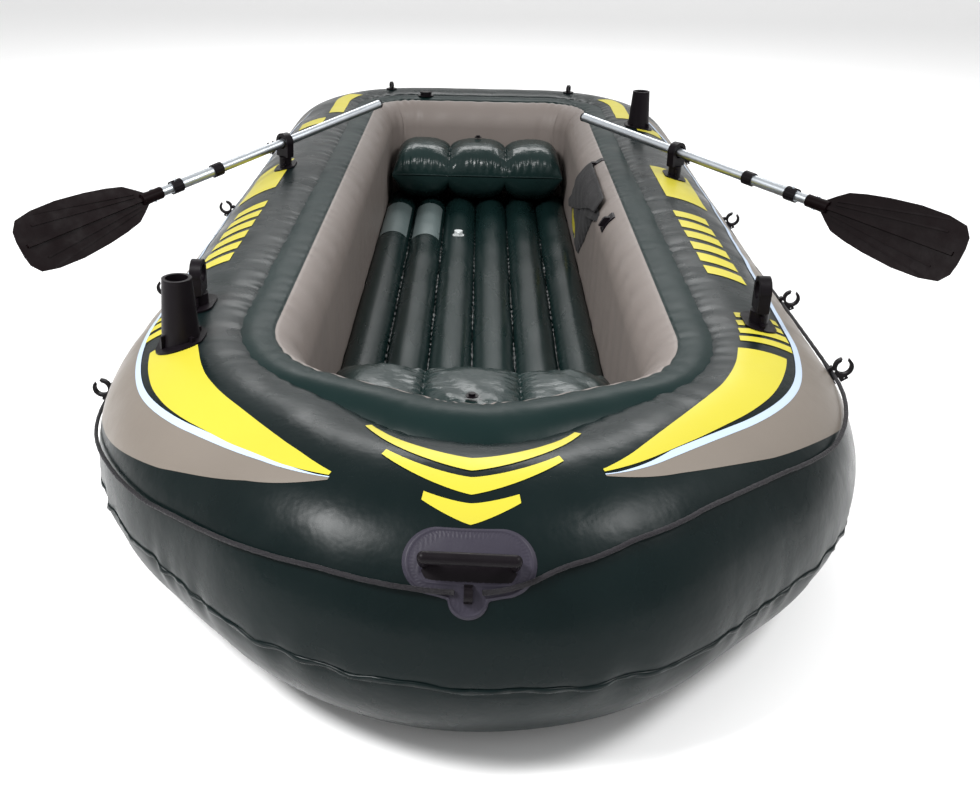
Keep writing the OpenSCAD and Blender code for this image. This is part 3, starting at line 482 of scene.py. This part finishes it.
# ---------------------------------------------------------------- seats
def seat(name, slot_node, body, seed, squat=1.0):
    (a, b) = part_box(slot_node)
    W, D, H = b[0] - a[0], b[1] - a[1], b[2] - a[2]
    cx, cy, cz = (a[0] + b[0])/2, (a[1] + b[1])/2, (a[2] + b[2])/2
    ni, nj = ((230, 130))
    def even(n, p):
        t = np.linspace(-1, 1, n); return np.sign(t)*(1 - (1 - np.abs(t))**p)
    xi, et = even(ni, 1.25)[:, None], even(nj, 1.9)[None]
    x = xi*W/2 + 0*et; y = et*D/2 + 0*xi
    j = np.clip(np.floor((xi + 1)*1.5), 0, 2); q = (xi - (j - 1)*2/3)*3
    bq = np.clip(1 - np.abs(q)**2.6, 0, 1)**(1/2.1)
    gm = .50
    outer = ((j == 0) & (q < 0)) | ((j == 2) & (q > 0))
    Lx = np.where(outer, bq, gm + (1 - gm)*bq)
    E = np.clip(1 - np.abs(et)**2.8, 0, 1)**(1/2.15)
    p = E*Lx
    gd = np.minimum(np.abs(xi - 1/3), np.abs(xi + 1/3))*W/2
    ed = (1 - np.abs(et))*D/2; ex = (1 - np.abs(xi))*W/2
    wr = .0052*np.exp(-ed/.026)*waves(x, .034, seed, W) + .0044*np.exp(-gd/.016)*waves(y, .036, seed + 1, D) + .0030*np.exp(-ex/.022)*waves(y, .04, seed + 2, D)
    wr = wr + .0012*waves(x + .3*y, .09, seed + 3, W)*waves(y, .12, seed + 4, D)
    y = y*(1 - .045*bq*np.abs(et)**4) ; x = x*(1 - .02*E*np.abs(xi)**6)
    top = cz + (H/2 - .004)*p + wr*np.clip(p*3, 0, 1)
    bot = cz - (H/2 - .0005)*np.clip(p*1.04, 0, 1)
    n = ni*nj
    V = np.concatenate([np.stack([cx + x, cy + y, top], -1).reshape(-1, 3), np.stack([cx + x, cy + y, bot - .0008], -1).reshape(-1, 3)])
    F = [tuple(f) for f in quads(ni, nj, flip=True)] + [tuple(f) for f in quads(ni, nj, base=n)]
    rim = [i*nj for i in range(ni)] + [(ni - 1)*nj + k for k in range(1, nj)] + [i*nj + nj - 1 for i in range(ni - 2, -1, -1)] + [k for k in range(nj - 2, 0, -1)]
    for k in range(len(rim)):
        u, v = rim[k], rim[(k + 1) % len(rim)]
        F.append((u, v, v + n, u + n))
    # points round the edge for a welded lip, worked out but not added to the mesh
    base = len(V); m = len(rim)
    rp = V[rim]; cen = np.array([cx, cy, cz])
    dirv = rp - cen; dirv[:, 2] = 0
    out = np.stack([np.sign(dirv[:, 0])*(np.abs(dirv[:, 0]) > W/2*.96), np.sign(dirv[:, 1])*(np.abs(dirv[:, 1]) > D/2*.90), 0*dirv[:, 0]], -1)
    wig = (.0010*waves(np.arange(m), m/70, seed + 9, m))[:, None]*np.array([[0, 0, 1.0]])
    lip = rp + out*.000 + wig
    o = add(name, V, F, [SEAT])
    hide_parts(slot_node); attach(o, body)
    return o
seat("front_cushion", "front_seat", "front_seat", 81)
seat("rear_cushion", "rear_seat", "rear_seat", 101)

# ---------------------------------------------------------------- bow pad, pouch, bottom sheet
def fan(outline, rings=22, power=.8):
    """Rings of points from the outline in to its middle: ([rings, n, 2], how far in each ring lies)."""
    o = np.asarray(outline, float); c = o.mean(0)
    k = np.linspace(1, 0, rings)**power
    return c + (o - c)[None]*k[:, None, None], k
def resample(poly, n, rnd=.012):
    """The closed outline with n even points and softened corners."""
    p = np.asarray(poly, float); q = np.concatenate([p, p[:1]])
    d = np.concatenate([[0], np.cumsum(np.linalg.norm(np.diff(q, axis=0), axis=1))])
    t = np.linspace(0, d[-1], n, endpoint=False)
    r = np.stack([np.interp(t, d, q[:, 0]), np.interp(t, d, q[:, 1])], -1)
    w = max(1, int(rnd/(d[-1]/n)))
    ker = np.hanning(2*w + 3)[1:-1]; ker /= ker.sum(); h = len(ker)//2
    return np.stack([np.convolve(np.concatenate([r[-h:, a], r[:, a], r[:h, a]]), ker, "valid") for a in (0, 1)], -1)

def bow_pad():
    t = np.linspace(-np.pi/2, np.pi/2, 40)
    right = np.stack([.045 + .048*np.cos(t), .048*np.sin(t)], -1); left = -right
    q = np.linspace(np.pi, 2*np.pi, 40)
    tongue = np.stack([.026*np.cos(q), -.052 + .026*np.sin(q)], -1)
    P, k = fan(resample(np.concatenate([tongue, right, left]), 300, .006), 34)
    a = np.linspace(0, 2*np.pi, 300, endpoint=False)
    X, Y = P[..., 0], P[..., 1]
    rr = np.broadcast_to(k[:, None], X.shape); A = np.broadcast_to(a[None], X.shape)
    # painted shade: the hand slot is only a shallow dip in the pad, and its faces take the black finish to stand for
    # the shadow in the opening
    slot = np.maximum(np.abs(X) - .052, 0)**2 + (Y + .015)**2 < .0125**2
    edge = np.clip((np.sqrt(np.maximum(np.abs(X) - .052, 0)**2 + (Y + .015)**2) - .0125)/.006, 0, 1)
    off = .0006 + .0022*np.clip((1 - rr)*14, 0, 1)**.5 + .0016*np.exp(-((rr - .93)/.025)**2) + .0005*np.exp(-((rr - .86)/.02)**2)*np.cos(90*A) - .0016*(1 - edge) + .0018*np.exp(-((edge - .5)/.3)**2)
    off = off + .0003*np.sin(40*X*25)*np.exp(-((rr - .78)/.05)**2)
    S_ = X*.671; TH = np.radians(42) + Y/R
    V = tube(S_, TH, off)
    n = len(a); F = quads(len(k), n, False, True, flip=False)
    # faces inside the slot get the black finish as painted shade
    M = slot.reshape(-1)[F].sum(1) >= 3
    o = add("bow_pad_skin", V, F, [PAD, BLACK], M.astype(int))
    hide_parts("bow_handle_patch"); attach(o, "hull")
bow_pad()

def wall_at(y, z, off):
    """A point off the port wall of the cockpit at that height, over its round top too."""
    y, z, off = np.broadcast_arrays(np.asarray(y, float), np.asarray(z, float), np.asarray(off, float))
    sn = np.clip((z - .328)/RR, 0, 1); cs = np.sqrt(1 - sn**2)
    up = z > .328
    x = np.where(up, .425 - (RR + off)*cs, .425 - RR - off)
    zz = np.where(up, .328 + (RR + off)*sn, z)
    return np.stack([x, y, zz], -1)
def pouch():
    body = [(-.075, .383), (.045, .372), (.16, .381), (.30, .388), (.452, .398), (.468, .404), (.482, .398), (.55, .33), (.60, .29), (.68, .245), (.748, .205), (.738, .180), (.66, .150), (.58, .128), (.50, .122), (.43, .128), (.34, .18), (.25, .235), (.15, .30), (.06, .352), (-.075, .371)]
    o = resample(body, 260, .014)
    P, k = fan(o, 34, .75)
    y, z = P[..., 0], P[..., 1]; r_ = np.broadcast_to(k[:, None], y.shape)
    puff = .011*np.clip(1 - r_**3, 0, 1)**.6*np.clip((y + .03)/.10, .08, 1)
    fold = .0032*np.sin(38*y + 24*z + 2)*np.sin(21*z - 9*y)*(1 - r_**4) + .0016*np.sin(95*y - 30*z)*np.exp(-((r_ - .9)/.12)**2)
    off = .0015 + puff + fold*np.clip((y + .03)/.10, .05, 1) + .0012*np.exp(-((r_ - .95)/.03)**2)
    V = wall_at(y, z, np.maximum(off, .0008))
    yel = (np.abs(y - .585 - .9*(z - .19)) < .045*(1 - .35*np.sin(60*z))) & (np.abs(z - .192) < .040)
    spot = ((y - .555)**2*.25 + (z - .143)**2) < .011**2
    F = quads(len(k), len(o), False, True, flip=True)
    M = np.where(yel.reshape(-1)[F].sum(1) >= 3, 1, np.where(spot.reshape(-1)[F].sum(1) >= 3, 2, 0))
    a = add("gear_pouch_cloth", V, F, [CLOTH, YELLOW, GREY], M)
    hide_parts("gear_pouch"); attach(a, "hull")
    flap = [(.040, .368), (.052, .399), (.20, .400), (.35, .400), (.474, .400), (.54, .345), (.618, .290), (.70, .245), (.760, .212), (.742, .197), (.62, .225), (.500, .255), (.37, .29), (.250, .325), (.14, .352)]
    o = resample(flap, 220, .010)
    P, k = fan(o, 24, .8)
    y, z = P[..., 0], P[..., 1]; r_ = np.broadcast_to(k[:, None], y.shape)
    top = np.clip((.400 - z)/.03, 0, 1)
    def sheet(d):
        off = .0125 + d + .0030*np.clip(1 - r_**4, 0, 1)*top + .0022*np.sin(30*y - 40*z + 1)*np.sin(18*y + 6*z)*top + .0010*np.exp(-((r_ - .95)/.03)**2)
        return wall_at(y, z, off)
    F = quads(len(k), len(o), False, True, flip=True)
    V, F, M = join([(sheet(.0012), F, 0), (sheet(0), quads(len(k), len(o), False, True), 0)])
    n = len(o)
    N2 = len(k)*n
    F += [(i, (i + 1) % n, (i + 1) % n + N2, i + N2) for i in range(n)]
    b = add("pouch_flap_cloth", V, F, [CLOTH])
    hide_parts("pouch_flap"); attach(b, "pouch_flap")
pouch()

def bottom():
    c, n = line(S)
    E_ = c - n*(inset(S) - .030)[:, None]
    mid = np.stack([0*E_[:, 0], np.clip(E_[:, 1], -1.05, 1.10)], -1)
    k = np.linspace(0, 1, 14)
    P = E_[:, None] + (mid - E_)[:, None]*k[None, :, None]
    rip = .0005*np.sin(23*P[..., 0])*np.sin(17*P[..., 1])
    T_ = np.concatenate([P, (.0026 + rip)[..., None]], -1); B_ = np.concatenate([P, 0*rip[..., None]], -1)
    V = np.concatenate([T_[:, ::-1], B_], 1)
    o = add("bottom_skin", V, quads(NS, 28, True, False), [FLOOR])
    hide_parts("bottom_sheet"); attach(o, "hull")
bottom()

# ---------------------------------------------------------------- CAD pieces that show as they are
def finish_node(name, mat, bevel=.0012, seg=3):
    o = frame["nodes"][name]
    o.data.materials.clear(); o.data.materials.append(mat)
    if bevel:
        m = o.modifiers.new("edge", "BEVEL"); m.width = bevel; m.segments = seg; m.limit_method = "ANGLE"; m.angle_limit = math.radians(32); m.harden_normals = False
    for p in o.data.polygons: p.use_smooth = True
    w = o.modifiers.new("shade", "WEIGHTED_NORMAL"); w.keep_sharp = True
rec = frame["record"]
slot_mat = {"black_plastic": BLACK, "shaft_alu": ALU, "blade_plastic": BLADE, "pouch_fabric": CLOTH, "clear_plastic": CLEAR, "floor_pvc": FLOOR}
for sp in rec["subparts"]:
    n, s = sp["node"], sp["material_slot"]
    if n in ("outer_chamber", "inner_chamber", "floor_chamber", "front_seat", "rear_seat", "grab_line", "bow_handle_patch", "gear_pouch", "pouch_flap", "bottom_sheet"):
        continue
    finish_node(n, slot_mat[s], .0010)

# ---------------------------------------------------------------- stage
def stage():
    m, nt, b = material("stage_floor")
    b.inputs["Base Color"].default_value = (.94, .94, .94, 1); b.inputs["Roughness"].default_value = .9; b.inputs["Specular IOR Level"].default_value = .1
    z = -.0005
    u = np.linspace(-1, 1, 41)
    V = []
    n = 60
    prof = [(-14, 0), (9, 0)]
    P = []
    for y in np.linspace(-14, 8, 30): P.append((y, 0))
    for a in np.linspace(0, math.pi/2, 16)[1:]: P.append((8 + 3*math.sin(a), 3 - 3*math.cos(a)))
    for h in np.linspace(3, 9, 6)[1:]: P.append((11, h))
    for x in (-16, 16):
        for y, h in P: V.append((x, y, z + h))
    k = len(P)
    o = add("stage", V, [(i, i + 1, k + i + 1, k + i) for i in range(k - 1)], [m])
    w = bpy.data.worlds.new("studio"); w.use_nodes = True; sc.world = w
    w.node_tree.nodes["Background"].inputs["Color"].default_value = (1, 1, 1, 1)
    w.node_tree.nodes["Background"].inputs["Strength"].default_value = .78
    def area(name, loc, to, size, power, col=(1, 1, 1)):
        l = bpy.data.lights.new(name, "AREA"); l.shape = "RECTANGLE"; l.size, l.size_y = size; l.energy = power; l.color = col
        o = bpy.data.objects.new(name, l); sc.collection.objects.link(o)
        o.location = loc; o.rotation_euler = (Vector(to) - Vector(loc)).to_track_quat("-Z", "Y").to_euler()
    area("key", (-2.4, -2.6, 3.4), (0, -.9, .3), (1.4, 1.0), 230)
    area("fill", (2.6, -1.6, 3.4), (.2, -.6, .3), (1.2, 1.0), 110)
    area("back", (0, 4.2, 3.6), (0, .6, .2), (3.4, 1.2), 105)
    sc.view_settings.view_transform = "Standard"
stage()

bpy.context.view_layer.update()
import json
